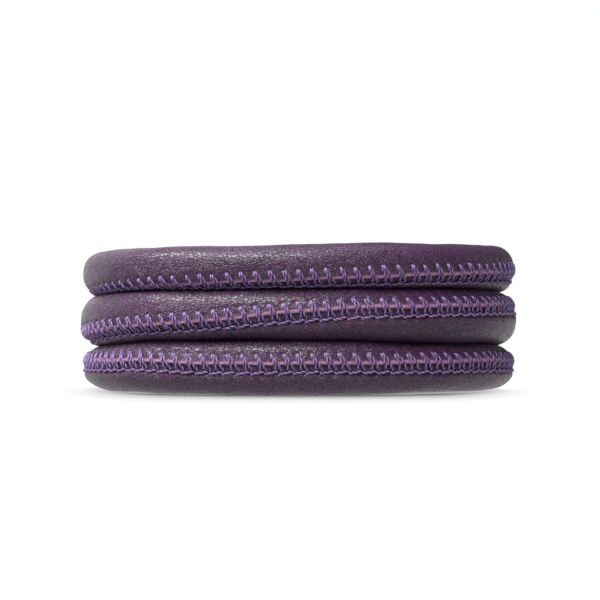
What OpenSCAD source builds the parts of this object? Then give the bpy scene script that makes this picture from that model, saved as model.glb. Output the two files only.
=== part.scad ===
// Triple-wrap bracelet: one stitched round leather cord, wound three times into an
// upright coil, its two ends joined at the back by a magnetic clasp.
// Millimetres. +Z is the coil's axis, the bracelet stands on Z = 0, and the side
// that is worn outwards looks along -Y.

/* [Cord] */
// Diameter of the finished cord, over its leather
cord_d = 6.8; // [5.6:0.1:8.2]
// Thickness of the leather wall
leather_t = 0.9; // [0.7:0.05:1.1]
// Thickness of the sewing threads
thread_d = 0.4; // [0.2:0.05:0.5]
// Gap between a groove in the leather and the thread in it
thread_gap = 0.05; // [0.03:0.01:0.1]
// Gap between the leather and the core inside it
core_gap = 0.05; // [0.02:0.01:0.1]
// Angle round the cord from the looper thread up to the row of needle holes
stitch_angle = 44; // [36:1:60]

/* [Coil] */
// Width of the coil outside, from side to side
coil_w = 62; // [52:1:76]
// Depth of the coil outside, without the closing lane at the back
coil_l = 62; // [52:1:76]
// Gap between neighbouring turns
turn_gap = 0.3; // [0.2:0.1:0.6]
// Squareness of the coil in plan, where 2 is an ellipse
squareness = 2.3; // [2:0.1:2.6]

/* [Clasp] */
// Thickness of the cups' wall round the cord
cup_wall = 0.74; // [0.6:0.02:1.2]
// Radial gap for glue between the cord and its cup
glue_gap = 0.06; // [0.04:0.01:0.15]
// How deep the cord goes into each cup
cup_depth = 5; // [4:0.5:6]
// Thickness of the wall between the cord and the magnet
web_t = 0.8; // [0.6:0.1:1.2]
// Diameter of the disc magnets
magnet_d = 5; // [4:0.1:6]
// Thickness of the disc magnets
magnet_t = 2; // [1.5:0.1:2.5]
// Thickness of the plug's boss round its magnet
boss_wall = 0.72; // [0.5:0.02:0.8]
// Length of the plug's boss
boss_l = 1.2; // [0.8:0.1:1.6]
// Radial gap between the boss and the socket's recess
boss_gap = 0.1; // [0.05:0.01:0.2]
// Gap left between faces that meet, end to end
face_gap = 0.05; // [0.02:0.01:0.1]
// Radial gap round a pressed or glued magnet
magnet_gap = 0.03; // [0.02:0.01:0.06]
// Bevel on the cups' outer edges
bevel = 0.4; // [0.2:0.05:0.5]

/* [Route] */
// Angle round the coil where each turn starts to climb to the next level
climb_from = 96; // [92:1:100]
// Angle where the climb ends
climb_to = 264; // [258:1:268]
// Room between the closing lane and the turns inside it
lane_room = 0.4; // [0.3:0.1:1]
// How far the clasp stands out from the closing lane
clasp_stand = 2.4; // [2:0.1:3]
// How far to the right of the middle the two cups meet
clasp_x = 1; // [-1:0.5:2]

/* [Hidden] */

$fn = 64;

// The cord and its coil.
pitch = cord_d + turn_gap;
cord_r = cord_d / 2;
half_w = coil_w / 2 - cord_r;
half_l = coil_l / 2 - cord_r;
lane = cord_d + turn_gap + lane_room;
top_level = cord_r + 2 * pitch;

// The clasp lies along X, on the surface that the bracelet stands on.
cord_bore_r = cord_r + glue_gap;
clasp_r = cord_bore_r + cup_wall;
clasp_y = half_l + lane + clasp_stand;
magnet_seat_r = magnet_d / 2 + magnet_gap;
boss_r = magnet_seat_r + boss_wall;
recess_depth = boss_l + face_gap;
socket_l = cup_depth + web_t + magnet_t + recess_depth;
plug_body_l = cup_depth + web_t + magnet_t - boss_l;
socket_mouth = clasp_x - face_gap - socket_l;
plug_mouth = clasp_x + plug_body_l;

// The route is followed by its angle round the coil: 0 at the front, 90 at the right,
// and a full turn more for each wrap.
straight_run = 1;
first_angle = -180 - asin((socket_mouth - straight_run) / (half_l + lane));
last_angle = 900 - asin((plug_mouth + straight_run) / (half_l + lane));
split_angle = 810;
start_out = -156;
start_in = -94;
close_in = 810;
close_out = 888;
drop_from = 828;
drop_to = 886;
leave_clasp_line = -140;
meet_clasp_line = 802;

// How far the stitches are turned round the cord at angles along the route, where 0 faces
// outwards and -90 faces down. The seam works round the cord as it is wound.
seam_turns = [
    [-180, -4], [-90, -4], [-40, -7], [-25, -14], [0, -11], [30, -9], [90, -6],
    [270, -62], [300, -52], [333, -40], [347, -25], [360, -15], [373, -8], [387, -1], [450, 17],
    [630, -86], [646, -79], [671, -67], [698, -57], [720, -51], [735, -47],
    [765, -38], [810, -26], [900, -16]
];

// The section of the leather: sides, and the grooves that the threads lie in.
outer_sides = 14;
inner_sides = 8;
thread_sides = 5;
ring_spacing = 3.3;
groove_depth = thread_d + thread_gap;
groove_half_angle = asin((thread_d / 2 + thread_gap) / (cord_r - groove_depth));
thread_line_r = cord_r - groove_depth + thread_gap + thread_d / 2;
split_gap = 0.2;

leather = [0.29, 0.19, 0.31];
thread_colour = [0.52, 0.38, 0.72];
core_colour = [0.80, 0.77, 0.72];
steel = [0.72, 0.72, 0.74];
nickel = [0.60, 0.60, 0.62];

function smooth(t) = let (u = min(max(t, 0), 1)) u * u * (3 - 2 * u);
function ramp(value, from, to) = smooth((value - from) / (to - from));

function coil_radius(angle) = pow(
    pow(abs(cos(angle)) / half_l, squareness) + pow(abs(sin(angle)) / half_w, squareness),
    -1 / squareness);

// Each wrap climbs one level across the back, inside the closing lane.
function climb(angle) = pitch
    * (ramp(angle, climb_from, climb_to) + ramp(angle, climb_from + 360, climb_to + 360));

// How much of the point belongs to the closing lane, from 0 to 1.
function lane_share(angle) = 1 - ramp(angle, start_out, start_in)
    + ramp(angle, close_in, close_out);

// How much of the point belongs to the clasp's own line, from 0 to 1.
function clasp_share(angle) = 1 - ramp(angle, first_angle, leave_clasp_line)
    + ramp(angle, meet_clasp_line, last_angle);

function height(angle) = cord_r + climb(angle)
    + (clasp_r - cord_r) * (1 - ramp(angle, first_angle, leave_clasp_line))
    - (top_level - clasp_r) * ramp(angle, drop_from, drop_to);

function route(angle) =
    let (
        r = coil_radius(angle) + lane * lane_share(angle),
        y = -r * cos(angle)
    )
    [r * sin(angle), y + (clasp_y - y) * clasp_share(angle), height(angle)];

// Angles between two places on the route, about ring_spacing apart.
function stations(from, to) =
    let (count = ceil((to - from) / 360 * PI * (half_w + half_l) / ring_spacing))
    [for (i = [0:count]) from + (to - from) * i / count];

function along(angle) = route(angle + 0.5) - route(angle - 0.5);
function unit(v) = v / norm(v);

// A ring is [centre, direction, seam turn].
function rings(from, to) = [for (angle = stations(from, to))
    [route(angle), unit(along(angle)), lookup(angle, seam_turns)]];

// The cord ends lie straight in their cups.
socket_floor = socket_mouth + cup_depth - face_gap;
plug_floor = plug_mouth - cup_depth + face_gap;
function straight_rings(from, to, turn) = [for (share = [0, 0.5, 1])
    [[from + (to - from) * share, clasp_y, clasp_r], [-1, 0, 0], turn]];

// Both halves of the split face each other squarely, because the route runs along Y there.
function pushed(ring, distance) = [ring[0] + [0, distance, 0], [0, 1, 0], ring[2]];
main_rings = let (r = rings(first_angle, split_angle))
    concat(
        straight_rings(socket_floor, socket_mouth, lookup(first_angle, seam_turns)),
        [for (i = [0:len(r) - 2]) r[i]],
        [pushed(r[len(r) - 1], -split_gap / 2)]
    );
free_rings = let (r = rings(split_angle, last_angle))
    concat(
        [pushed(r[0], split_gap / 2)],
        [for (i = [1:len(r) - 1]) r[i]],
        straight_rings(plug_mouth, plug_floor, lookup(last_angle, seam_turns))
    );

// A section is a list of [radius, angle] from the seam. It is placed square to the ring.
function placed(ring, section, at = [0, 0]) =
    let (
        out = unit(cross(ring[1], [0, 0, 1])),
        up = cross(out, ring[1])
    )
    [for (p = section)
        let (
            u = at[0] * cos(at[1] + ring[2]) + p[0] * cos(p[1] + ring[2]),
            v = at[0] * sin(at[1] + ring[2]) + p[0] * sin(p[1] + ring[2])
        )
        ring[0] + out * u + up * v];

function groove(angle) = [
    [cord_r, angle - groove_half_angle],
    [cord_r - groove_depth, angle - groove_half_angle],
    [cord_r - groove_depth, angle + groove_half_angle],
    [cord_r, angle + groove_half_angle]
];
// The leather between the two grooves, then the rest of the way round.
cover_section = concat(
    groove(0),
    [[cord_r, stitch_angle / 2]],
    groove(stitch_angle),
    [for (i = [1:outer_sides - 3])
        [cord_r, stitch_angle + (360 - stitch_angle) * i / (outer_sides - 2)]]
);
function polygon_section(r, sides) = [for (i = [0:sides - 1]) [r, 360 * i / sides]];

// The four-sided faces between two rings of points, each as two triangles.
function skin(sides, rows, base, inward) = [
    for (i = [0:rows - 2], k = [0:sides - 1], half = [0, 1])
        let (
            n = (k + 1) % sides,
            a = base + i * sides,
            b = a + sides,
            three = half == 0 ? [a + k, a + n, b + n] : [a + k, b + n, b + k]
        )
        inward ? [three[2], three[1], three[0]] : three
];

// A closed bar over a row of rounded sections.
module sweep(sections) {
    sides = len(sections[0]);
    rows = len(sections);
    polyhedron(
        points = [for (s = sections) each s],
        faces = concat(
            [[for (k = [sides - 1:-1:0]) k]],
            skin(sides, rows, 0, false),
            [[for (k = [0:sides - 1]) (rows - 1) * sides + k]]
        )
    );
}

// The flat face between an outside and an inside ring. Each point of the outside ring
// has a neighbour on the inside ring, by its angle round the section.
function rim(outer_start, inner_start, angles, inner_count, reversed) = [
    for (k = [0:len(angles) - 1], half = [0, 1])
        let (
            count = len(angles),
            next_angle = k == count - 1 ? angles[0] + 360 : angles[k + 1],
            m = round(angles[k] * inner_count / 360),
            m2 = round(next_angle * inner_count / 360),
            a = outer_start + k,
            b = outer_start + (k + 1) % count,
            c = inner_start + m % inner_count,
            d = inner_start + m2 % inner_count,
            three = half == 0 ? [a, b, c] : [c, b, d]
        )
        if (half == 0 || m != m2) reversed ? [three[2], three[1], three[0]] : three
];

// A tube over a row of sections, hollow all along and open at both ends.
module tube(outside, inside, angles) {
    so = len(outside[0]);
    si = len(inside[0]);
    rows = len(outside);
    base = so * rows;
    polyhedron(
        points = concat([for (s = outside) each s], [for (s = inside) each s]),
        faces = concat(
            skin(so, rows, 0, false),
            skin(si, rows, base, true),
            rim(0, base, angles, si, true),
            rim(so * (rows - 1), base + si * (rows - 1), angles, si, false)
        )
    );
}

module cover(ring_list) {
    color(leather) tube(
        [for (r = ring_list) placed(r, cover_section)],
        [for (r = ring_list) placed(r, polygon_section(cord_r - leather_t, inner_sides))],
        [for (p = cover_section) p[1]]
    );
}

module core(ring_list) {
    core_r = cord_r - leather_t - core_gap / cos(180 / inner_sides);
    color(core_colour) sweep([for (r = ring_list) placed(r, polygon_section(core_r, inner_sides))]);
}

module thread(ring_list, angle) {
    section = polygon_section(thread_d / 2, thread_sides);
    color(thread_colour) sweep([for (r = ring_list) placed(r, section, [thread_line_r, angle])]);
}

// Turned parts are drawn as half sections: radius, then distance along +X.
module turned(x, outline) {
    translate([x, clasp_y, clasp_r]) rotate([0, 90, 0]) rotate_extrude() polygon(outline);
}

lip_bevel = bevel / 2;

module clasp_socket() {
    recess_r = boss_r + boss_gap;
    magnet_floor = cup_depth + web_t;
    color(steel) turned(socket_mouth, [
        [cord_bore_r, 0],
        [clasp_r - bevel, 0],
        [clasp_r, bevel],
        [clasp_r, socket_l - lip_bevel],
        [clasp_r - lip_bevel, socket_l],
        [recess_r, socket_l],
        [recess_r, socket_l - recess_depth],
        [magnet_seat_r, socket_l - recess_depth],
        [magnet_seat_r, magnet_floor],
        [0, magnet_floor],
        [0, cup_depth],
        [cord_bore_r, cup_depth]
    ]);
}

module clasp_plug() {
    magnet_floor = magnet_t - boss_l;
    color(steel) turned(clasp_x, [
        [magnet_seat_r, -boss_l],
        [boss_r - lip_bevel, -boss_l],
        [boss_r, lip_bevel - boss_l],
        [boss_r, 0],
        [clasp_r - lip_bevel, 0],
        [clasp_r, lip_bevel],
        [clasp_r, plug_body_l - bevel],
        [clasp_r - bevel, plug_body_l],
        [cord_bore_r, plug_body_l],
        [cord_bore_r, plug_body_l - cup_depth],
        [0, plug_body_l - cup_depth],
        [0, magnet_floor],
        [magnet_seat_r, magnet_floor]
    ]);
}

module magnet(x) {
    color(nickel) translate([x, clasp_y, clasp_r]) rotate([0, 90, 0])
        cylinder(h = magnet_t, d = magnet_d);
}

cover(main_rings);  // leather_cover
core(main_rings);  // cord_core
thread(main_rings, stitch_angle);  // needle_thread
thread(main_rings, 0);  // looper_thread
clasp_socket();
magnet(socket_mouth + cup_depth + web_t);  // socket_magnet
cover(free_rings);  // free_end_cover
core(free_rings);  // free_end_core
thread(free_rings, stitch_angle);  // free_end_needle_thread
thread(free_rings, 0);  // free_end_looper_thread
clasp_plug();
magnet(clasp_x - boss_l);  // plug_magnet
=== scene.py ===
# %% [markdown]
# # A bracelet of sewn leather cord, wound three times
#
# The real bracelet is one long round cord: a strip of soft nappa leather, wrapped round a cotton
# core, lapped over its own edge and sewn shut along its whole length. It is wound three times,
# and a small magnetic clasp at the back joins its two ends.
#
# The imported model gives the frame: the clasp's cups and magnets, and plain solids for the cord.
# This lesson keeps the clasp's places, and makes the leather, the stitches and the looks.

# %% Load the frame
import math

import bpy
import numpy as np
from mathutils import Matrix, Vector


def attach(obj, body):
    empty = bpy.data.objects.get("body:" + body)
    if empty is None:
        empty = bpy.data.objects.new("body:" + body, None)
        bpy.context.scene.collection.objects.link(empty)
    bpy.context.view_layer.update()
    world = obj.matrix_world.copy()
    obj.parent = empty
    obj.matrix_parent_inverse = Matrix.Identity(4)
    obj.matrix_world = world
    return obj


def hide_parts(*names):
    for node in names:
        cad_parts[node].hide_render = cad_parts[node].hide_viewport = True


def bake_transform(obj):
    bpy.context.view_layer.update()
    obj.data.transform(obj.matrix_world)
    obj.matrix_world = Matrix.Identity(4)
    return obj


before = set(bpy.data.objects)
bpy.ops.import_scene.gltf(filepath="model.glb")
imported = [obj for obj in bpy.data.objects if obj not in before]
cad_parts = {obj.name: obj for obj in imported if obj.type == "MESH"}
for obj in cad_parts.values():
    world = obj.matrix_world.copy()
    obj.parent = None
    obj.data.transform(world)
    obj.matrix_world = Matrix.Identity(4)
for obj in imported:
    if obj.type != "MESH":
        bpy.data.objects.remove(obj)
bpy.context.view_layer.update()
MM = 0.001

# %% [markdown]
# ## The camera
#
# The bracelet is looked at level, from far away, with a long lens. A long lens keeps the front
# and the sides of the coil at almost the same scale, as in a catalogue picture. A short lens
# would make the front bulge. The camera stands a little over half the coil's height.

# %% Camera
camera_distance = 490 * MM
camera_height = 12.9 * MM
camera_side = 0.2 * MM
lens_mm = 205.8

camera_data = bpy.data.cameras.new("camera")
camera_data.lens = lens_mm
camera_data.sensor_width = 36
camera_data.clip_start = 0.01
camera_data.clip_end = 20
camera = bpy.data.objects.new("camera", camera_data)
camera.location = (camera_side, -camera_distance, camera_height)
camera.rotation_euler = (math.radians(90), 0, 0)
bpy.context.scene.collection.objects.link(camera)
bpy.context.scene.camera = camera
print("camera", tuple(round(v, 4) for v in camera.location))

# %% [markdown]
# ## The route of the cord
#
# A Bezier curve drawn by hand would do for a loose cord, but three turns that lie on each other
# need a rule. So the route is a function of the angle round the coil: 0 at the front, 90 at the
# right, and a full turn more for each wrap. Each wrap climbs one level across the back. The two
# ends use an outer lane there, which takes them round the climbing turns and into the clasp.
# These are the same rules and sizes, in millimetres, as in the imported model.

# %% Sizes of the cord, the coil and the clasp
cord_d = 6.8
cord_r = cord_d / 2
turn_gap = 0.3
pitch = cord_d + turn_gap
squareness = 2.3
half_w = 62 / 2 - cord_r
half_l = 62 / 2 - cord_r
lane = cord_d + turn_gap + 0.4
top_level = cord_r + 2 * pitch

clasp_r = 8.4 / 2
clasp_y = half_l + lane + 2.4
clasp_x = 1
cup_depth = 5
socket_mouth = clasp_x - 9.1
plug_mouth = clasp_x + 6.6
socket_floor = socket_mouth + cup_depth
plug_floor = plug_mouth - cup_depth

straight_run = 1
first_angle = -180 - math.degrees(math.asin((socket_mouth - straight_run) / (half_l + lane)))
last_angle = 900 - math.degrees(math.asin((plug_mouth + straight_run) / (half_l + lane)))
split_angle = 810

climbs = [(96, 264), (456, 624)]
leaves_lane, joins_lane = (-156, -94), (810, 888)
leaves_clasp, nears_clasp = -140, 802
sinks_to_clasp = (828, 886)
print("the route runs from", round(first_angle, 1), "to", round(last_angle, 1), "degrees")

# %% The route as a rule
def ramp(value, start, stop):
    """0 before start and 1 after stop, with a soft rise between them."""
    t = np.clip((value - start) / (stop - start), 0, 1)
    return t * t * (3 - 2 * t)


def coil_radius(angle):
    turn = np.radians(angle)
    front, side = np.abs(np.cos(turn) / half_l), np.abs(np.sin(turn) / half_w)
    return (front ** squareness + side ** squareness) ** (-1 / squareness)


def climb(angle):
    return pitch * (ramp(angle, *climbs[0]) + ramp(angle, *climbs[1]))


def lane_share(angle):
    return 1 - ramp(angle, *leaves_lane) + ramp(angle, *joins_lane)


def clasp_share(angle):
    return 1 - ramp(angle, first_angle, leaves_clasp) + ramp(angle, nears_clasp, last_angle)


def level(angle):
    up = (clasp_r - cord_r) * (1 - ramp(angle, first_angle, leaves_clasp))
    down = (top_level - clasp_r) * ramp(angle, *sinks_to_clasp)
    return cord_r + climb(angle) + up - down


front_radius, side_radius = float(coil_radius(0)), float(coil_radius(90))
print("centre line at the front and side, in mm:", round(front_radius, 2), round(side_radius, 2))

# %% [markdown]
# ## How soft turns press on each other
#
# Round cords only touch along a line. Leather over cotton gives, so the turns sit flat on each
# other, the middle one bulges most, and the whole stack is not perfectly level. A soft-body
# simulation could find this, but four height lines across the front say it more exactly: the
# floor line under the bottom turn, the two joints between turns, and the top line. Each is a
# few chosen points, eased into a smooth line.

# %% Height lines across the front, as (angle, height in mm)
floor_line = [
    (-90, 0.3), (-60, 0.22), (-45, 0.2), (-30, 0.07), (-14, 0),
    (12, 0), (30, 0.22), (46, 0.36), (90, 0.3),
]
low_joint = [
    (-90, 6.3), (-80, 6.4), (-61, 6.8), (-45, 7.4), (-30, 7.6),
    (16, 7.6), (26, 7.2), (60, 6.95), (90, 6.4),
]
high_joint = [
    (-90, 13.5), (-80, 13.6), (-61, 13.9), (-45, 14.3),
    (0, 14.45), (42, 14.55), (72, 14.15), (90, 13.9),
]
top_line = [
    (-90, 19.6), (-45, 20.1), (-18, 20.2),
    (0, 20.45), (20, 20.65), (45, 20.6), (90, 20.5),
]
height_lines = [floor_line, low_joint, high_joint, top_line]
print("height lines:", len(height_lines))

# %% The section of each turn
# For each turn: how far it sits in from the widest outline, and how square its section is, where
# 2 is an ellipse. Then how deep each turn sinks past a joint at the front, how much a turn swells
# at the back so that the turns touch, the angles between which the front's lines give way to the
# plain back, and the power by which a flatter section gets wider.
turn_inset = [0.4, 0.05, 0.4]
turn_power = [2.15, 2.15, 2.5]
pressed = 0.09
swell_behind = 0.16
front_ends = (100, 150)
bulge = 0.6
print("how far each turn sits in, in mm:", turn_inset)


# %% A smooth line through a few points
def eased(points, softness):
    """A smooth line through (place, value) points: straight pieces, then a moving average."""
    places, values = np.array(points, float).T
    grid = np.linspace(places[0] - 6 * softness, places[-1] + 6 * softness, 4000)
    step = grid[1] - grid[0]
    reach = np.arange(-3 * softness, 3 * softness + step, step)
    weights = np.exp(-0.5 * (reach / softness) ** 2)
    line = np.interp(grid, places, values)
    padded = np.pad(line, len(reach) // 2, mode="edge")
    line = np.convolve(padded, weights / weights.sum(), mode="same")
    line = line[len(reach) // 2:len(line) - len(reach) // 2]
    return lambda at: np.interp(at, grid, line)


height_rules = [eased(points, 5) for points in height_lines]
print("stack at the front:", [round(float(rule(0)), 2) for rule in height_rules], "mm")

# %% [markdown]
# ## How the seam works its way round
#
# Nobody winds a cord without turning it, so the row of stitches faces outwards on one turn and
# slips under on the next. Here 0 means that the foot of the stitches faces straight outwards,
# -90 that it faces down.

# %% Seam turn along the route, as (angle round the coil, turn of the seam in degrees)
seam_points = [
    (-180, -4), (-90, -4), (-40, -7), (-25, -14), (0, -11), (30, -9), (90, -6),
    (270, -62), (300, -52), (333, -40), (347, -25), (360, -15), (373, -8), (387, -1), (450, 17),
    (630, -86), (646, -79), (671, -67), (698, -57), (720, -51), (735, -47), (765, -38),
    (810, -26), (900, -16),
]
seam_rule = eased(seam_points, 6)
print("seam turn at the front of each turn:", [round(float(seam_rule(a))) for a in (0, 360, 720)])


# %% The whole route as a table of places
rows_in_cup = 120


def lay_cord():
    """Rows of: centre x, y and z, the section's half width and half height, the seam's turn, the
    section's power and the angle round the coil, every few hundredths of a millimetre."""
    angle = np.linspace(first_angle, last_angle, 14000)
    turn = np.clip(np.round(angle / 360), 0, 2).astype(int)
    front = angle - 360 * turn
    shaped = 1 - ramp(np.abs(front), *front_ends)
    free = lane_share(angle)
    half = cord_r + swell_behind * (1 - free)
    low, high = level(angle) - half, level(angle) + half
    for k in range(3):
        mine = turn == k
        floor_or_joint = height_rules[k](front[mine]) - (pressed if k > 0 else 0)
        joint_or_top = height_rules[k + 1](front[mine]) + (pressed if k < 2 else 0)
        low[mine] += shaped[mine] * (floor_or_joint - low[mine])
        high[mine] += shaped[mine] * (joint_or_top - high[mine])
    tall = (high - low) / 2
    wide = cord_r * (cord_r / tall) ** bulge
    inset = np.array(turn_inset)[turn] * shaped * (1 - free)
    radius = coil_radius(angle) + lane * free - (wide - cord_r) - inset
    around = np.radians(angle)
    x, y = radius * np.sin(around), -radius * np.cos(around)
    y = y + (clasp_y - y) * clasp_share(angle)
    power = 2 + (np.array(turn_power)[turn] - 2) * shaped * (1 - free)
    rows = np.stack([x, y, (low + high) / 2, wide, tall, seam_rule(angle), power, angle], 1)
    count = rows_in_cup
    start = np.repeat(rows[:1], count, 0)
    start[:, :3] = [socket_floor, clasp_y, clasp_r]
    start[:, 0] = np.linspace(socket_floor, socket_mouth, count)
    stop = np.repeat(rows[-1:], count, 0)
    stop[:, :3] = [plug_mouth, clasp_y, clasp_r]
    stop[:, 0] = np.linspace(plug_mouth, plug_floor, count)
    start[:, 7] -= np.linspace(1, 0.01, count)
    stop[:, 7] += np.linspace(0.01, 1, count)
    return np.concatenate([start, rows, stop])


table = lay_cord()
steps = np.linalg.norm(np.diff(table[:, :3], axis=0), axis=1)
arc = np.concatenate([[0], np.cumsum(steps)])
length = arc[-1]
split_at = float(np.interp(split_angle, table[:, 7], arc))
print("cord length in mm:", round(length, 1), "and the end stretch starts at", round(split_at, 1))


# %% Directions along the cord: forward, outwards and up
look_ahead = 0.6


def along(distance, column):
    return np.interp(distance, arc, column)


def frame_at(distance):
    """Centre, outward and upward directions at distances along the cord, as arrays of vectors."""
    centre = np.stack([along(distance, table[:, k]) for k in range(3)], -1)
    ahead = np.stack([along(distance + look_ahead, table[:, k]) for k in range(3)], -1)
    behind = np.stack([along(distance - look_ahead, table[:, k]) for k in range(3)], -1)
    forward = ahead - behind
    forward /= np.linalg.norm(forward, axis=-1, keepdims=True)
    out = np.cross(forward, [0, 0, 1])
    out /= np.linalg.norm(out, axis=-1, keepdims=True)
    return centre, out, np.cross(out, forward)


halfway, _, _ = frame_at(np.array([length / 2]))
print("halfway along, the cord is at", [round(float(c), 1) for c in halfway[0]], "mm")


# %% Places on the leather
def on_cord(distance, psi, height):
    """Points in mm on the cord, and the surface's outward direction there. psi is the angle up
    from the seam's foot, and height the distance off the smooth leather."""
    distance, psi, height = np.broadcast_arrays(distance, psi, height)
    centre, out, up = frame_at(distance)
    wide, tall = along(distance, table[:, 3]), along(distance, table[:, 4])
    phi = np.radians(along(distance, table[:, 5]) + psi)
    power = along(distance, table[:, 6])
    c, s = np.cos(phi), np.sin(phi)
    r = (np.abs(c / wide) ** power + np.abs(s / tall) ** power) ** (-1 / power)
    a, b = r * c, r * s
    na = np.sign(a) * np.abs(a / wide) ** (power - 1) / wide
    nb = np.sign(b) * np.abs(b / tall) ** (power - 1) / tall
    size = np.hypot(na, nb)
    na, nb = na / size, nb / size
    normal = out * na[..., None] + up * nb[..., None]
    return centre + out * a[..., None] + up * b[..., None] + normal * height[..., None], normal


# %% [markdown]
# ## From arrays to meshes
#
# A cord could be a curve with a bevel, but then its skin is the same everywhere. Here the skin
# has a lap, a row of needle holes and puckers, so it is a grid of points: rings along the cord,
# columns round it. The grid also gives honest texture coordinates, in millimetres, with their
# seam hidden where the real strip of leather ends.

# %% A mesh from a grid of rings
def grid_object(name, points, u=None, v=None, layers=None):
    """points has the shape (rings, columns, 3) in mm. The columns close into a loop, and both
    ends are capped. u and v are texture coordinates in mm, and layers are values per point."""
    rings, columns = points.shape[:2]
    index = np.arange(rings * columns).reshape(rings, columns)
    nxt = np.roll(index, -1, axis=1)
    quads = np.stack([index[:-1], nxt[:-1], nxt[1:], index[1:]], -1).reshape(-1, 4)
    corners = np.concatenate([quads.ravel(), index[0, ::-1], index[-1]])
    sizes = np.concatenate([np.full(len(quads), 4), [columns, columns]])
    mesh = bpy.data.meshes.new(name)
    mesh.vertices.add(rings * columns)
    mesh.vertices.foreach_set("co", (points * MM).astype(np.float32).ravel())
    mesh.loops.add(len(corners))
    mesh.loops.foreach_set("vertex_index", corners.astype(np.int32))
    mesh.polygons.add(len(sizes))
    first_corners = np.concatenate([[0], np.cumsum(sizes)[:-1]])
    mesh.polygons.foreach_set("loop_start", first_corners.astype(np.int32))
    mesh.update(calc_edges=True)
    if u is not None:
        uu = np.broadcast_to(u, (rings, columns))
        vv = np.broadcast_to(v[:columns], (rings, columns))
        vn = np.broadcast_to(np.append(v[1:columns], v[columns]), (rings, columns))
        uv = np.stack([
            np.stack([uu[:-1], vv[:-1]], -1), np.stack([uu[:-1], vn[:-1]], -1),
            np.stack([uu[1:], vn[1:]], -1), np.stack([uu[1:], vv[1:]], -1)], 2).reshape(-1, 2)
        uv = np.concatenate([uv, np.zeros((2 * columns, 2))])
        mesh.uv_layers.new(name="UVMap").data.foreach_set("uv", uv.astype(np.float32).ravel())
    for key, values in (layers or {}).items():
        layer = mesh.attributes.new(key, "FLOAT", "POINT")
        layer.data.foreach_set("value", values.astype(np.float32).ravel())
    mesh.shade_smooth()
    obj = bpy.data.objects.new(name, mesh)
    bpy.context.scene.collection.objects.link(obj)
    return obj


# %% [markdown]
# ## The leather: a strip lapped on itself
#
# Going round the cord from the cut edge of the flap: over the row of needle holes, round the
# back, up to the groove where the looper thread lies, and on underneath the flap. The flap's
# cut edge is a step as high as the leather is thick there, and it is left raw. Each stitch
# pulls a small dimple at its hole and presses a notch into the edge.

# %% The stitch plan
stitch_pitch = 1.76
hole_psi = 45.0
edge_psi = 19.0
leg_span = [(0.0, 0.44), (0.08, 0.87)]
sewn_from = cup_depth + 0.4
stitch_count = int((length - 2 * sewn_from) / stitch_pitch) - 1
stitch_at = sewn_from + 0.5 + stitch_pitch * np.arange(stitch_count)

# No seam is perfectly even: each stitch wanders along the cord (mm) and across it (degrees).
rng = np.random.default_rng(7)
hole_wander = rng.normal(0, 0.06, stitch_count)
row_wander = rng.normal(0, 1.2, stitch_count)
print("stitches:", stitch_count, "every", stitch_pitch, "mm")


def slow_waves(distance, seed, size, longest=40, shortest=5):
    """A gentle wobble along the cord, made of a few waves of chosen lengths."""
    picks = np.random.default_rng(seed)
    total = np.zeros_like(distance, dtype=float)
    for wave in np.geomspace(longest, shortest, 6):
        total += picks.normal() * np.sin(distance * 2 * math.pi / wave + picks.uniform(0, 6.28))
    return size * total / 2.4


def near(distance, phase, reach):
    """How near a place is to the given share of a stitch, as a soft bump around each one."""
    i = np.round((distance - stitch_at[0]) / stitch_pitch - phase).astype(int)
    i = np.clip(i, 0, stitch_count - 1)
    off = distance - (stitch_at[i] + hole_wander[i] + phase * stitch_pitch)
    return np.exp(-(off / reach) ** 2)


def around(psi, middle, reach):
    """The same bump round the section, about the middle angle in degrees."""
    off = (psi - middle + 180) % 360 - 180
    return np.exp(-(off / reach) ** 2)


# %% The section of the leather, as (degrees on from the cut edge, height in mm)
section_points = [
    (0, -0.03), (0.9, 0.03), (2.5, 0.05), (5, 0.05), (9, 0.03), (16, 0.01), (26, 0.0), (45, 0.0),
    (300, 0.0), (322, 0.03), (329, 0.02), (333, -0.06), (336, -0.22), (338.5, -0.34), (341, -0.38),
    (345, -0.37), (350, -0.35), (357, -0.36), (359.7, -0.37),
]
fine = [
    0, 0.9, 2.5, 4.5, 7, 10, 13, 16, 18.5, 21, 23, 24.5, 26, 27.5, 29, 31, 33.5, 37, 41, 46, 52,
]
broad = list(np.linspace(60, 308, 34))
foot = [
    314, 319, 323, 326.5, 329, 331, 333, 335, 337, 339, 341, 343.5, 346.5, 350, 353.5, 357, 359.7,
]
round_cord = np.array(fine + broad + foot)
base_height = np.interp(round_cord, *np.array(section_points).T)
raw_share = [(0, 1), (5.2, 1), (8.0, 0), (359, 0), (359.7, 0.5)]
base_raw = np.interp(round_cord, *np.array(raw_share).T)
cut_face = np.array([[360.0, -0.33, 1.0], [360.0, -0.2, 1.0], [360.0, -0.08, 1.0]])
columns_at = np.concatenate([round_cord, cut_face[:, 0]])
columns_height = np.concatenate([base_height, cut_face[:, 1]])
columns_raw = np.concatenate([base_raw, cut_face[:, 2]])
print("columns round the leather:", len(columns_at))

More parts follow.
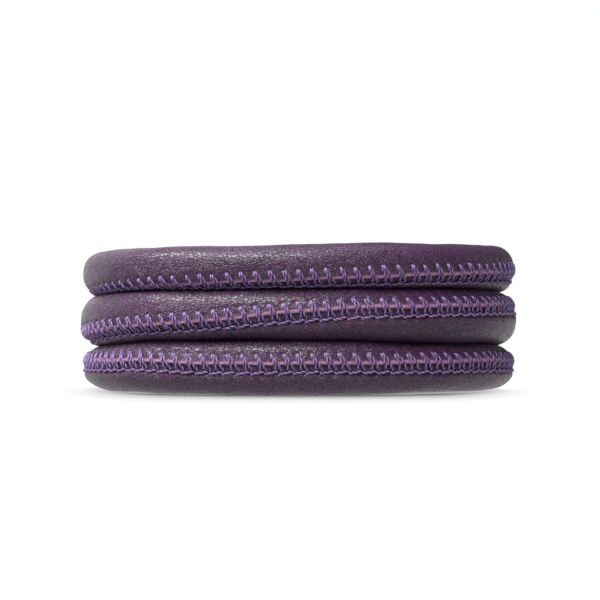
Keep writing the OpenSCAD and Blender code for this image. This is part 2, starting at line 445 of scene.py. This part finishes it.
# %% What each stitch presses into the leather
# The numbers are: depth in mm, place as a share of the stitch, reach along the cord in mm, place
# round the section and reach round it in degrees. Pulls are where the dye is stretched thin, and
# start with their strength instead.
dents = [
    (0.24, 0.04, 0.24, hole_psi + 1, 4.2),
    (0.05, 0.04, 0.55, hole_psi - 4, 12),
]
for start_phase, stop_phase in leg_span:
    crossing = start_phase + (stop_phase - start_phase) * 0.62
    dents.append((0.07, crossing, 0.26, edge_psi + 2, 6))
dents.append((0.22, 0.74, 0.17, 0.5, 4))
dents.append((0.10, 0.78, 0.35, -9, 6))
pulls = [(1.0, -0.06, 0.22, hole_psi + 8, 7), (0.9, 0.8, 0.3, -13, 6)]
edge_wander = 1.1
edge_notch = 0.5
swell_along = 0.035
swell_across = 0.025
print("dents for each stitch:", len(dents))


# %% The leather of the coil and of the end stretch
def leather_grid(start, stop, spacing=0.22):
    """The leather between two distances along the cord."""
    distance = np.linspace(start, stop, int((stop - start) / spacing) + 2)[:, None]
    edge = edge_psi + slow_waves(distance, 3, edge_wander) + edge_notch * np.cos(
        (distance - stitch_at[0]) / stitch_pitch * 2 * math.pi)
    psi = edge + columns_at[None, :]
    sewn = ramp(distance, sewn_from - 1, sewn_from)
    sewn = sewn * ramp(-distance, sewn_from - 1 - length, sewn_from - length)
    height = np.broadcast_to(columns_height[None, :], psi.shape).copy()
    for depth, phase, reach, middle, spread in dents:
        height -= sewn * depth * near(distance, phase, reach) * around(psi, middle, spread)
    height += swell_along * slow_waves(distance + psi * 0.03, 5, 1.0, 26, 4)
    height += swell_across * slow_waves(distance * 0.6 - psi * 0.09, 8, 1.0, 18, 3)
    points, _ = on_cord(distance, psi, height)
    pull = np.zeros(psi.shape)
    for share, phase, reach, middle, spread in pulls:
        here = sewn * share * near(distance, phase, reach) * around(psi, middle, spread)
        pull = np.maximum(pull, here)
    raw = np.broadcast_to(columns_raw[None, :], psi.shape)
    v = np.append(columns_at, 360) * math.radians(1) * cord_r
    return points, distance, v, {"raw_edge": raw, "pull": pull}


def leather_object(name, start, stop):
    points, distance, v, layers = leather_grid(start, stop)
    return grid_object(name, points, distance, v, layers)


leather_coil = leather_object("leather_coil", 0.05, split_at)
leather_end = leather_object("leather_end", split_at, length - 0.05)
print("leather points:", len(leather_coil.data.vertices) + len(leather_end.data.vertices))

# %% [markdown]
# ## Matching the shading at the cut
#
# The leather is two meshes, so that the last stretch can move with the clasp's plug. Each mesh
# would work out its own normals at the cut, and a fine line would show. So both take the normals
# that the unbroken skin has there.

# %% One set of normals for both meshes
def share_normals(first, second, columns):
    for mesh in (first.data, second.data):
        mesh.update()
    normals = []
    for mesh, ring in ((first.data, slice(-columns, None)), (second.data, slice(0, columns))):
        values = np.zeros(len(mesh.vertices) * 3, np.float32)
        mesh.vertex_normals.foreach_get("vector", values)
        normals.append([values.reshape(-1, 3), ring])
    middle = normals[0][0][normals[0][1]] + normals[1][0][normals[1][1]]
    middle /= np.linalg.norm(middle, axis=1, keepdims=True)
    for mesh, (values, ring) in zip((first.data, second.data), normals):
        values[ring] = middle
        mesh.normals_split_custom_set_from_vertices(values.tolist())


share_normals(leather_coil, leather_end, len(columns_at))
print("points that share a normal:", len(columns_at))

# %% [markdown]
# ## The threads
#
# Two threads hold the lap. The needle thread comes out of each hole twice and crosses the cut
# edge as two legs that fan out. The looper thread runs along their feet, and dives into the
# groove once a stitch. A thread is two plies twisted together, so its section has two lobes that
# turn along its length. The shadow line between them, which is also painted on as shade, is what
# makes a thread look like one.

# %% Many short twisted tubes in one mesh
def thread_object(name, paths, normals, wide, thick, twist, sides=10):
    """paths and normals have the shape (tubes, points, 3), in mm. wide and thick are the section's
    half sizes, as numbers or per point, and twist is the ply's turn in degrees per mm."""
    tubes, count = paths.shape[:2]
    forward = np.gradient(paths, axis=1)
    forward /= np.linalg.norm(forward, axis=-1, keepdims=True)
    side = np.cross(normals, forward)
    side /= np.linalg.norm(side, axis=-1, keepdims=True)
    up = np.cross(forward, side)
    run = np.concatenate([np.zeros((tubes, 1)), np.cumsum(
        np.linalg.norm(np.diff(paths, axis=1), axis=-1), axis=1)], 1)
    spin = np.radians(run * twist)[..., None]
    turn = np.linspace(0, 2 * math.pi, sides, endpoint=False)[None, None, :]
    lobes = 1 + 0.2 * np.cos(2 * (turn - spin))
    wide = np.broadcast_to(wide, (tubes, count))[..., None]
    thick = np.broadcast_to(thick, (tubes, count))[..., None]
    ring = (paths[:, :, None, :] + side[:, :, None, :] * (np.cos(turn) * lobes * wide)[..., None]
            + up[:, :, None, :] * (np.sin(turn) * lobes * thick)[..., None])
    index = np.arange(tubes * count * sides).reshape(tubes, count, sides)
    nxt = np.roll(index, -1, axis=2)
    quads = np.stack([index[:, :-1], nxt[:, :-1], nxt[:, 1:], index[:, 1:]], -1).reshape(-1, 4)
    caps = np.concatenate([index[:, 0, ::-1], index[:, -1]])
    mesh = bpy.data.meshes.new(name)
    mesh.from_pydata((ring * MM).reshape(-1, 3).tolist(), [], quads.tolist() + caps.tolist())
    # The ply value also paints shade into the valley between the plies and light on their tops.
    ply = mesh.attributes.new("ply", "FLOAT", "POINT")
    ply.data.foreach_set("value", np.cos(2 * (turn - spin)).astype(np.float32).ravel())
    layer = mesh.uv_layers.new(name="UVMap")
    u = np.broadcast_to(run[..., None] + np.arange(tubes)[:, None, None] * 3.7, index.shape).ravel()
    v = np.broadcast_to(turn / (2 * math.pi), index.shape).ravel()
    corner = np.zeros(len(mesh.loops), np.int32)
    mesh.loops.foreach_get("vertex_index", corner)
    layer.data.foreach_set("uv", np.stack([u[corner], v[corner]], -1).astype(np.float32).ravel())
    mesh.shade_smooth()
    obj = bpy.data.objects.new(name, mesh)
    bpy.context.scene.collection.objects.link(obj)
    return obj


# %% The needle thread's two legs at each stitch
thread_half_wide = 0.175
thread_half_thick = 0.145
needle_twist = 210
looper_twist = 230
path_share = np.linspace(0, 1, 13)

# Heights in mm over the smooth leather, along each leg from its hole to its foot in the groove.
leg_heights = [
    (0, -0.3), (0.06, -0.06), (0.14, 0.07), (0.3, 0.1), (0.5, 0.11), (0.6, 0.07),
    (0.7, -0.08), (0.8, -0.18), (0.93, -0.26), (1, -0.42),
]


def stitch_legs(numbers):
    """The paths of both legs of the chosen stitches."""
    t = path_share
    paths, normals = [], []
    for start_phase, stop_phase in leg_span:
        sway = rng.normal(0, 0.035, (len(numbers), 1))
        begin = (stitch_at[numbers] + hole_wander[numbers])[:, None]
        begin = begin + (start_phase + sway) * stitch_pitch
        reach = (stop_phase - start_phase) * stitch_pitch
        lean = 1 - (1 - t) ** 1.35
        distance = begin + reach * lean[None, :]
        psi = (hole_psi + row_wander[numbers])[:, None] * (1 - t)[None, :] + 0.8 * t[None, :]
        over = np.interp(t, *np.array(leg_heights).T)
        points, normal = on_cord(distance, psi, np.broadcast_to(over, distance.shape))
        paths.append(points)
        normals.append(normal)
    return np.concatenate(paths), np.concatenate(normals)


# %% The looper thread between the feet of one stitch and the next
looper_psi = [(0, -1.5), (0.1, -4.2), (0.5, -2.2), (0.9, 0.6), (1, 0.4)]
looper_heights = [
    (0, -0.5), (0.06, -0.16), (0.14, -0.04), (0.3, -0.1),
    (0.7, -0.1), (0.88, -0.12), (0.95, -0.26), (1, -0.55),
]


def looper_run(numbers):
    """The looper's path over each of the chosen stitches."""
    t = path_share
    begin = (stitch_at[numbers] + hole_wander[numbers])[:, None] + 0.72 * stitch_pitch
    distance = begin + (0.02 + 0.98 * t[None, :]) * stitch_pitch
    psi = np.interp(t, *np.array(looper_psi).T)
    over = np.interp(t, *np.array(looper_heights).T)
    return on_cord(
        distance, np.broadcast_to(psi, distance.shape), np.broadcast_to(over, distance.shape))


# %% Both threads, for the coil and for the end stretch
taper = np.interp(path_share, [0, 0.15, 0.8, 1], [0.8, 1, 1, 0.8])
stitched = {}
for part, chosen in (
    ("coil", np.flatnonzero(stitch_at < split_at - 0.5)),
    ("end", np.flatnonzero(stitch_at >= split_at - 0.5)),
):
    needle_paths, needle_normals = stitch_legs(chosen)
    looper_paths, looper_normals = looper_run(chosen)
    stitched[part] = [
        thread_object("needle_thread_" + part, needle_paths, needle_normals,
                      thread_half_wide * taper, thread_half_thick * taper, needle_twist),
        thread_object("looper_thread_" + part, looper_paths, looper_normals,
                      thread_half_wide * 0.85 * taper, thread_half_thick * 1.1 * taper,
                      looper_twist),
    ]
    print(part, "stitches:", len(chosen))

# %% [markdown]
# ## The core
#
# Inside the leather lies a round cotton cord. It never shows, but it is a piece of the bracelet,
# so it gets a mesh of its own that follows the same route.

# %% Core
core_r = cord_r - 0.95


def core_object(name, start, stop):
    distance = np.linspace(start, stop, int((stop - start) / 1.5) + 2)[:, None]
    psi = np.linspace(0, 360, 24, endpoint=False)[None, :]
    points, _ = on_cord(distance, psi, core_r - cord_r)
    v = np.linspace(0, 2 * math.pi * core_r, 25)
    return grid_object(name, points, distance, v)


core_coil = core_object("core_coil", 0.1, split_at)
core_end = core_object("core_end", split_at, length - 0.1)
print("core made")

# %% [markdown]
# ## Node helpers
#
# Every finish below is a small tree of nodes. Writing one out link by link hides the idea, so
# two helpers do the plumbing: one makes a node and plugs in its inputs, one starts a material.

# %% Helpers for materials
def new_material(name):
    material = bpy.data.materials.new(name)
    material.use_nodes = True
    tree = material.node_tree
    return material, tree, tree.nodes["Principled BSDF"]


def add(tree, kind, settings=None, **inputs):
    """A node with its settings, and its inputs given as values or as other nodes' outputs. An
    input is named, or numbered as i0, i1 and so on where a node has several of one name."""
    node = tree.nodes.new("ShaderNode" + kind)
    for key, value in (settings or {}).items():
        setattr(node, key, value)
    for key, value in inputs.items():
        numbered = key[0] == "i" and key[1:].isdigit()
        socket = node.inputs[int(key[1:]) if numbered else key.replace("_", " ")]
        if isinstance(value, bpy.types.NodeSocket):
            tree.links.new(value, socket)
        else:
            socket.default_value = value
    return node


def math_node(tree, operation, a, b=0.5, clamp=False):
    return add(tree, "Math", {"operation": operation, "use_clamp": clamp}, i0=a, i1=b).outputs[0]


def mix_colour(tree, factor, a, b, blend="MIX"):
    node = add(tree, "Mix", {"data_type": "RGBA", "blend_type": blend}, i0=factor, i6=a, i7=b)
    return node.outputs[2]


def remap(tree, value, low, high, to_low=0.0, to_high=1.0):
    node = add(tree, "MapRange", {"interpolation_type": "SMOOTHSTEP"}, Value=value)
    for key, number in zip((1, 2, 3, 4), (low, high, to_low, to_high)):
        node.inputs[key].default_value = number
    return node.outputs[0]


def colour(red, green, blue):
    """A colour as 0 to 255 on screen, turned into the linear values that shaders use."""
    shares = [c / 255 for c in (red, green, blue)]
    return (*[((c + 0.055) / 1.055) ** 2.4 if c > 0.0405 else c / 12.92 for c in shares], 1.0)


# %% [markdown]
# ## Leather
#
# Nappa is dyed through, polished, and has the fine pebble of the hide. Three sizes of relief
# build it: pebbles a third of a millimetre wide with valleys between them, smaller pores, and
# creases that run along the cord where it has been bent. The valleys are painted darker as shade
# and are duller, some pebble tops are painted lighter and greyer, and the tops catch the light.
# Where the leather was cut it is a dusty rose suede, and where a stitch pulls the skin the dye is
# thinner.

# %% The leather's grain
grain_depth = 0.05 * MM


def leather_grain(tree, coordinates):
    """The pebbles (0 in a valley), the pores, the depth of the creases, and slow patches."""
    drift = add(tree, "TexNoise", Vector=coordinates, Scale=0.35, Detail=3.0).outputs["Color"]
    warped = add(tree, "VectorMath", {"operation": "ADD"}, i0=coordinates, i1=drift).outputs[0]
    pebble_space = add(tree, "Mapping", Vector=warped, Scale=(0.65, 1.0, 1.0)).outputs[0]
    pebbles = add(tree, "TexVoronoi", {"feature": "DISTANCE_TO_EDGE"},
                  Vector=pebble_space, Scale=2.7)
    pebble = remap(tree, pebbles.outputs["Distance"], 0.01, 0.17)
    pores = add(tree, "TexNoise",
                Vector=pebble_space, Scale=8.0, Detail=4.0, Roughness=0.6).outputs["Fac"]
    crease_space = add(tree, "Mapping", Vector=warped, Scale=(0.35, 2.4, 1.0)).outputs[0]
    crease_noise = add(tree, "TexNoise",
                       Vector=crease_space, Scale=0.9, Detail=3.0, Roughness=0.55).outputs["Fac"]
    crease_ridge = math_node(tree, "ABSOLUTE", math_node(tree, "SUBTRACT", crease_noise, 0.5))
    crease = remap(tree, crease_ridge, 0.0, 0.045, 0.0, 1.0)
    patches = add(tree, "TexNoise", Vector=coordinates, Scale=0.11, Detail=2.0).outputs["Fac"]
    creased = remap(tree, patches, 0.42, 0.62, 0.25, 1.0)
    crease_depth = math_node(tree, "MULTIPLY", math_node(tree, "SUBTRACT", 1.0, crease), creased)
    return pebble, pores, crease_depth, patches


# %% The leather's colour
def leather_colour(tree, pebble, pores, patches, raw, pull, fibres):
    """Dye, painted shade in the valleys, lighter on some tops, thin where pulled, raw where cut."""
    dye_share = remap(tree, patches, 0.3, 0.7)
    dye_and_valley_shade = mix_colour(tree, dye_share, colour(76, 40, 80), colour(90, 50, 93))
    # Painted shade: the pebble valleys are darkened in the base colour.
    dye_and_valley_shade = mix_colour(tree, pebble, colour(42, 20, 46), dye_and_valley_shade)
    # Some pebble tops are painted lighter and greyer.
    lighter_tops = math_node(tree, "MULTIPLY", pebble, remap(tree, pores, 0.5, 0.75, 0.0, 0.25))
    with_lighter_tops = mix_colour(tree, lighter_tops, dye_and_valley_shade, colour(100, 66, 104))
    pulled_grain = math_node(tree, "MULTIPLY", pull, remap(tree, fibres, 0.42, 0.64, 0.0, 0.6))
    pulled = mix_colour(tree, pulled_grain, with_lighter_tops, colour(168, 98, 138))
    suede_share = remap(tree, fibres, 0.35, 0.65)
    suede = mix_colour(tree, suede_share, colour(168, 106, 148), colour(226, 172, 206))
    raw_mask = math_node(tree, "MULTIPLY", raw, remap(tree, fibres, 0.2, 0.45, 0.6, 1.0))
    return mix_colour(tree, raw_mask, pulled, suede)


# %% Leather material
def make_leather():
    material, tree, shader = new_material("aubergine_nappa")
    coordinates = add(tree, "UVMap", {"uv_map": "UVMap"}).outputs[0]
    raw = add(tree, "Attribute", {"attribute_name": "raw_edge"}).outputs["Fac"]
    pull = add(tree, "Attribute", {"attribute_name": "pull"}).outputs["Fac"]
    fibres = add(tree, "TexNoise",
                 Vector=coordinates, Scale=7.0, Detail=5.0, Roughness=0.7).outputs["Fac"]
    pebble, pores, crease_depth, patches = leather_grain(tree, coordinates)
    skin = leather_colour(tree, pebble, pores, patches, raw, pull, fibres)
    tree.links.new(skin, shader.inputs["Base Color"])

    gloss = remap(tree, pebble, 0.0, 1.0, 0.62, 0.34)
    gloss = math_node(tree, "MAXIMUM", gloss, math_node(tree, "MULTIPLY", raw, 0.85))
    tree.links.new(gloss, shader.inputs["Roughness"])
    shader.inputs["Specular IOR Level"].default_value = 0.4
    shader.inputs["Coat Weight"].default_value = 0.55
    shader.inputs["Coat Roughness"].default_value = 0.24

    relief = math_node(tree, "MULTIPLY", pebble, 0.7)
    relief = math_node(tree, "ADD", relief, math_node(tree, "MULTIPLY", pores, 0.3))
    relief = math_node(tree, "SUBTRACT", relief, math_node(tree, "MULTIPLY", crease_depth, 0.9))
    nap = math_node(tree, "MULTIPLY", raw, fibres)
    relief = math_node(tree, "ADD", relief, math_node(tree, "MULTIPLY", nap, 1.5))
    bump = add(tree, "Bump", Strength=1.0, Distance=grain_depth, Height=relief)
    tree.links.new(bump.outputs[0], shader.inputs["Normal"])
    tree.links.new(bump.outputs[0], shader.inputs["Coat Normal"])
    return material


leather_material = make_leather()
print("leather nodes:", len(leather_material.node_tree.nodes))

# %% [markdown]
# ## Thread
#
# Polyester sewing thread is a bundle of fine bright fibres. Its colour is a clear violet, with a
# painted highlight on top of each ply, and painted shade between the fibres and in the valley
# between the two plies.

# %% Thread material
fibre_depth = 0.03 * MM


def make_thread():
    material, tree, shader = new_material("violet_thread")
    coordinates = add(tree, "UVMap", {"uv_map": "UVMap"}).outputs[0]
    fibre_space = add(tree, "Mapping",
                      Vector=coordinates, Scale=(1.1, 14.0, 1.0), Rotation=(0, 0, 0.5)).outputs[0]
    fibre = add(tree, "TexNoise",
                Vector=fibre_space, Scale=2.2, Detail=3.0, Roughness=0.6).outputs["Fac"]
    tone = add(tree, "TexNoise", Vector=coordinates, Scale=0.4, Detail=1.0).outputs["Fac"]
    # Painted light and shade: lilac on top of each ply and on the fibres, deep purple in the valley
    # between the plies and between the fibres. The slow tone is the thread's own.
    painted_shade_violet = mix_colour(tree, tone, colour(46, 22, 78), colour(56, 29, 90))
    light = mix_colour(tree, tone, colour(184, 145, 211), colour(205, 169, 227))
    ply = add(tree, "Attribute", {"attribute_name": "ply"}).outputs["Fac"]
    on_ply = remap(tree, ply, -0.65, 0.7, 0.12, 1.0)
    on_fibre = remap(tree, fibre, 0.36, 0.6, 0.3, 1.0)
    # How far each point is painted lit rather than shaded.
    painted_light_share = math_node(tree, "MULTIPLY", on_ply, on_fibre)
    shade = mix_colour(tree, painted_light_share, painted_shade_violet, light)
    tree.links.new(shade, shader.inputs["Base Color"])
    shader.inputs["Roughness"].default_value = 0.5
    shader.inputs["Specular IOR Level"].default_value = 0.5
    shader.inputs["Sheen Weight"].default_value = 0.1
    shader.inputs["Sheen Roughness"].default_value = 0.35
    bump = add(tree, "Bump", Strength=1.0, Distance=fibre_depth, Height=fibre)
    tree.links.new(bump.outputs[0], shader.inputs["Normal"])
    return material


thread_material = make_thread()
print("thread nodes:", len(thread_material.node_tree.nodes))

# %% [markdown]
# ## Cotton, steel and nickel
#
# The core is undyed cotton. The cups are turned from stainless steel and polished, which leaves
# faint rings round the axis. The magnets are nickel plated, smooth and a little warmer.

# %% Core material
def make_cotton():
    material, tree, shader = new_material("cotton_core")
    coordinates = add(tree, "UVMap", {"uv_map": "UVMap"}).outputs[0]
    twist = add(tree, "TexWave", {"bands_direction": "DIAGONAL"},
                Vector=coordinates, Scale=0.6, Distortion=1.5).outputs["Fac"]
    shade = mix_colour(tree, twist, colour(186, 176, 158), colour(226, 218, 204))
    tree.links.new(shade, shader.inputs["Base Color"])
    shader.inputs["Roughness"].default_value = 0.9
    bump = add(tree, "Bump", Strength=1.0, Distance=0.2 * MM, Height=twist)
    tree.links.new(bump.outputs[0], shader.inputs["Normal"])
    return material


cotton_material = make_cotton()
print("cotton nodes:", len(cotton_material.node_tree.nodes))


# %% Metal materials
def make_metal(name, tint, roughness, ring_scale, ring_depth):
    """Turned metal: rings round the X axis, and fine duller patches."""
    material, tree, shader = new_material(name)
    coordinates = add(tree, "TexCoord").outputs["Object"]
    rings = add(tree, "TexWave", {"bands_direction": "X", "wave_profile": "SIN"},
                Vector=coordinates, Scale=ring_scale, Distortion=0.4, Detail=2.0).outputs["Fac"]
    wear = add(tree, "TexNoise",
               Vector=coordinates, Scale=900.0, Detail=4.0, Roughness=0.65).outputs["Fac"]
    dull_tint = [c * 0.86 for c in tint]
    shade = mix_colour(tree, remap(tree, wear, 0.3, 0.7), colour(*dull_tint), colour(*tint))
    tree.links.new(shade, shader.inputs["Base Color"])
    shader.inputs["Metallic"].default_value = 1.0
    gloss = remap(tree, wear, 0.3, 0.75, roughness * 0.75, roughness * 1.4)
    tree.links.new(gloss, shader.inputs["Roughness"])
    bump = add(tree, "Bump", Strength=1.0, Distance=ring_depth, Height=rings)
    tree.links.new(bump.outputs[0], shader.inputs["Normal"])
    return material


steel_material = make_metal("polished_steel", (206, 205, 203), 0.2, 2600.0, 0.004 * MM)
nickel_material = make_metal("nickel_plate", (214, 208, 196), 0.16, 1500.0, 0.001 * MM)
print("metals:", steel_material.name, nickel_material.name)


# %% [markdown]
# ## The clasp's cups
#
# The cups are turned parts, so each is one outline spun about the cord's line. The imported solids
# already have the right places and sizes. These meshes repeat them with the small rounded edges
# that polishing leaves, because a sharp edge catches no light.

# %% Round the corners of an outline
def rounded_outline(outline, corner):
    """outline is a loop of (radius, distance along X) in mm. Corners off the axis are rounded."""
    rounded = []
    count = len(outline)
    for i, point in enumerate(outline):
        here = np.array(point, float)
        back, ahead = np.array(outline[i - 1], float), np.array(outline[(i + 1) % count], float)
        to_back, to_ahead = back - here, ahead - here
        room = min(corner, 0.4 * np.linalg.norm(to_back), 0.4 * np.linalg.norm(to_ahead))
        if here[0] < 0.01:
            rounded.append(here)
            continue
        one = here + to_back / np.linalg.norm(to_back) * room
        two = here + to_ahead / np.linalg.norm(to_ahead) * room
        for t in (0, 0.25, 0.5, 0.75, 1):
            rounded.append((1 - t) ** 2 * one + 2 * t * (1 - t) * here + t * t * two)
    return np.array(rounded)


# %% Spin an outline about the clasp's line
def turned_object(name, x, outline, segments=96, corner=0.12):
    """A solid of revolution, with its outline's zero at x on the clasp's line."""
    mesh = bpy.data.meshes.new(name)
    vertices, rows = [], []
    for radius, distance in rounded_outline(outline, corner):
        if radius < 0.01:
            rows.append([len(vertices)])
            vertices.append((x + distance, clasp_y, clasp_r))
            continue
        rows.append(list(range(len(vertices), len(vertices) + segments)))
        for k in range(segments):
            turn = 2 * math.pi * k / segments
            side, up = radius * math.cos(turn), radius * math.sin(turn)
            vertices.append((x + distance, clasp_y + side, clasp_r + up))
    faces = []
    for i, row in enumerate(rows):
        other = rows[(i + 1) % len(rows)]
        if len(row) == 1 and len(other) == 1:
            continue
        for k in range(segments):
            n = (k + 1) % segments
            ring = [row[k % len(row)], row[n % len(row)],
                    other[n % len(other)], other[k % len(other)]]
            faces.append(list(dict.fromkeys(ring)))
    mesh.from_pydata([tuple(c * MM for c in vertex) for vertex in vertices], [], faces)
    mesh.shade_smooth()
    obj = bpy.data.objects.new(name, mesh)
    bpy.context.scene.collection.objects.link(obj)
    return obj


# %% Socket and plug
bore_r = cord_r + 0.06
web_t = 0.8
magnet_t = 2.0
seat_r = 2.53
boss_r = 3.25
boss_l = 1.2
recess_r = boss_r + 0.1
recess_depth = boss_l + 0.05
socket_l = cup_depth + web_t + magnet_t + recess_depth
plug_l = cup_depth + web_t + magnet_t - boss_l
bevel = 0.4
lip = bevel / 2

socket = turned_object("socket", socket_mouth, [
    (bore_r, 0), (clasp_r - bevel, 0), (clasp_r, bevel), (clasp_r, socket_l - lip),
    (clasp_r - lip, socket_l), (recess_r, socket_l), (recess_r, socket_l - recess_depth),
    (seat_r, socket_l - recess_depth), (seat_r, cup_depth + web_t), (0, cup_depth + web_t),
    (0, cup_depth), (bore_r, cup_depth)])
plug = turned_object("plug", clasp_x, [
    (seat_r, -boss_l), (boss_r - lip, -boss_l), (boss_r, lip - boss_l), (boss_r, 0),
    (clasp_r - lip, 0), (clasp_r, lip), (clasp_r, plug_l - bevel), (clasp_r - bevel, plug_l),
    (bore_r, plug_l), (bore_r, plug_l - cup_depth), (0, plug_l - cup_depth),
    (0, magnet_t - boss_l), (seat_r, magnet_t - boss_l)])
print("socket", len(socket.data.vertices), "and plug", len(plug.data.vertices), "points")

# %% [markdown]
# ## What rides on what
#
# The coil and the socket are one body, and the plug is another that pulls off along X. The last
# stretch of the cord has to join both; here its meshes are only fixed in place, on neither body.

# %% Bodies, materials and replaced solids
finishes = [
    (leather_coil, leather_material, "leather"), (leather_end, leather_material, "leather"),
    (core_coil, cotton_material, "core"), (core_end, cotton_material, "core"),
    (socket, steel_material, "steel"), (plug, steel_material, "steel"),
] + [(thread, thread_material, "thread") for pair in stitched.values() for thread in pair]
for piece, material, slot in finishes:
    piece.data.materials.append(material)

for piece in (leather_coil, core_coil, socket, *stitched["coil"]):
    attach(piece, "coil")
for piece in (leather_end, core_end, *stitched["end"]):
    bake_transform(piece)
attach(plug, "free_end")

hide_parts("leather_cover")
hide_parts("cord_core")
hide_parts("needle_thread")
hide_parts("looper_thread")
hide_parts("clasp_socket")
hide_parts("free_end_cover")
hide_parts("free_end_core")
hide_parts("free_end_needle_thread")
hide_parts("free_end_looper_thread")
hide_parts("clasp_plug")
for name in ("socket_magnet", "plug_magnet"):
    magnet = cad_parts[name]
    magnet.data.materials.clear()
    magnet.data.materials.append(nickel_material)
print("pieces:", len(finishes) + 2)


# %% The cord's facts
def line(start, stop):
    distance = np.linspace(start, stop, 12 + int((stop - start) / 3))
    return (np.stack([along(distance, table[:, k]) for k in range(3)], 1) * MM).tolist()


print("cord:", round(split_at, 1), "mm and", round(length - split_at, 1), "mm")

# %% [markdown]
# ## The set
#
# Catalogue pictures are shot on a white sweep, lit until the white burns out. Only a soft shadow
# where the leather meets the floor is left. A real shadow would need a floor that isn't burnt
# out, so the floor glows, and two ambient occlusion nodes take the glow away. The wide one leans
# back towards the coil and gives the soft shadow in front. It reaches far at the middle of the
# coil and hardly at all at its sides, where the light comes round. The narrow one draws the
# dark line of contact. The floor inside the coil is dimmer. The glow that the leather gets back
# from the floor is a value of its own, so the shadow can be set without changing the object.

# %% Numbers of the floor and the world. The levels are: value from, to, and glow from, to.
floor_half = 3.0
shade_in_front = 50 * MM
shade_beside = 5 * MM
shade_fades = (14 * MM, 36 * MM)
shade_levels = (0.15, 1.0, 0.16, 1.06)
contact_reach = 4 * MM
contact_levels = (0.05, 0.6, 0.6, 1.0)
side_opens = (18 * MM, 32 * MM)
side_share = 0.75
inside_rim = (24.5 * MM, 28.5 * MM)
inside_dim = 0.55
room_glow = 0.12
floor_bounce = 0.6
white = (1.0, 1.0, 1.0, 1.0)
print("the shade in front reaches", shade_in_front / MM, "mm")

# %% Floor
floor_mesh = bpy.data.meshes.new("floor")
floor_corners = [(-floor_half, -floor_half, 0), (floor_half, -floor_half, 0),
                 (floor_half, floor_half, 0), (-floor_half, floor_half, 0)]
floor_mesh.from_pydata(floor_corners, [], [(0, 1, 2, 3)])
floor = bpy.data.objects.new("floor", floor_mesh)
bpy.context.scene.collection.objects.link(floor)
floor_material, floor_tree, _ = new_material("white_floor")
floor_mesh.materials.append(floor_material)
print("floor:", 2 * floor_half, "m wide")

# %% The floor's glow
floor_place = add(floor_tree, "TexCoord").outputs["Object"]
floor_across = add(floor_tree, "SeparateXYZ", Vector=floor_place).outputs["X"]
floor_x = math_node(floor_tree, "ABSOLUTE", floor_across)
floor_r = add(floor_tree, "VectorMath", {"operation": "LENGTH"}, i0=floor_place).outputs["Value"]

shade_reach = remap(floor_tree, floor_x, *shade_fades, shade_in_front, shade_beside)
shade_lean = add(floor_tree, "CombineXYZ", X=0.0, Y=0.8, Z=0.6).outputs[0]
openness = add(floor_tree, "AmbientOcclusion", {"samples": 8},
               Distance=shade_reach, Normal=shade_lean).outputs["AO"]
contact = add(floor_tree, "AmbientOcclusion", {"samples": 8}, Distance=contact_reach).outputs["AO"]
soft_shade = remap(floor_tree, openness, *shade_levels)
contact_shade = remap(floor_tree, contact, *contact_levels)
floor_glow = math_node(floor_tree, "MULTIPLY", soft_shade, contact_shade)
inside_shade = remap(floor_tree, floor_r, *inside_rim, inside_dim, 1.0)
floor_glow = math_node(floor_tree, "MULTIPLY", floor_glow, inside_shade)
side_light = remap(floor_tree, floor_x, *side_opens, 0.0, side_share)
floor_glow = add(floor_tree, "Mix", {"data_type": "FLOAT"},
                 i0=side_light, i2=floor_glow, i3=1.0).outputs[0]
floor_seen = add(floor_tree, "LightPath").outputs["Is Camera Ray"]
floor_strength = add(floor_tree, "Mix", {"data_type": "FLOAT"},
                     i0=floor_seen, i2=floor_bounce, i3=floor_glow).outputs[0]
glow = add(floor_tree, "Emission", Strength=floor_strength).outputs[0]
floor_tree.links.new(glow, floor_tree.nodes["Material Output"].inputs["Surface"])
print("floor nodes:", len(floor_tree.nodes))

# %% World: white to look at, and dim as a light
world = bpy.data.worlds.new("studio")
bpy.context.scene.world = world
world.use_nodes = True
world_nodes = world.node_tree
room = world_nodes.nodes["Background"]
room.inputs["Color"].default_value = white
room.inputs["Strength"].default_value = room_glow
paper = add(world_nodes, "Background", Color=white, Strength=1.0)
seen = add(world_nodes, "LightPath").outputs["Is Camera Ray"]
sky = add(world_nodes, "MixShader", i0=seen, i1=room.outputs[0], i2=paper.outputs[0])
world_nodes.links.new(sky.outputs[0], world_nodes.nodes["World Output"].inputs["Surface"])
print("room glow:", room_glow)


# %% [markdown]
# ## The lights
#
# A long narrow light at the front left, high up, draws the long highlight along the top two
# turns. A weak one overhead fills the tops, and a broad panel behind at the left gives the
# leather its pale rims at the sides.

# %% Lights
def soft_light(name, place, target, width, height, watts):
    data = bpy.data.lights.new(name, "AREA")
    data.shape = "RECTANGLE"
    data.size, data.size_y = width, height
    data.energy = watts
    light = bpy.data.objects.new(name, data)
    light.location = place
    aim = Vector(target) - Vector(place)
    light.rotation_euler = aim.to_track_quat("-Z", "Y").to_euler()
    bpy.context.scene.collection.objects.link(light)
    return light


middle = (0, 0, 0.01)
soft_light("overhead", (0, 0, 0.7), middle, width=0.5, height=0.5, watts=1.6)
soft_light("front_left", (-0.33, -0.24, 0.70), middle, width=1.1, height=0.3, watts=12.5)
soft_light("backdrop", (-0.6, 0.75, 0.25), middle, width=1.4, height=0.9, watts=2.6)

# %% [markdown]
# ## Picture settings
#
# The standard view transform keeps the burnt-out white white and the dark leather honest.

# %% Finish
bpy.context.scene.view_settings.view_transform = "Standard"
bpy.context.scene.view_settings.look = "None"
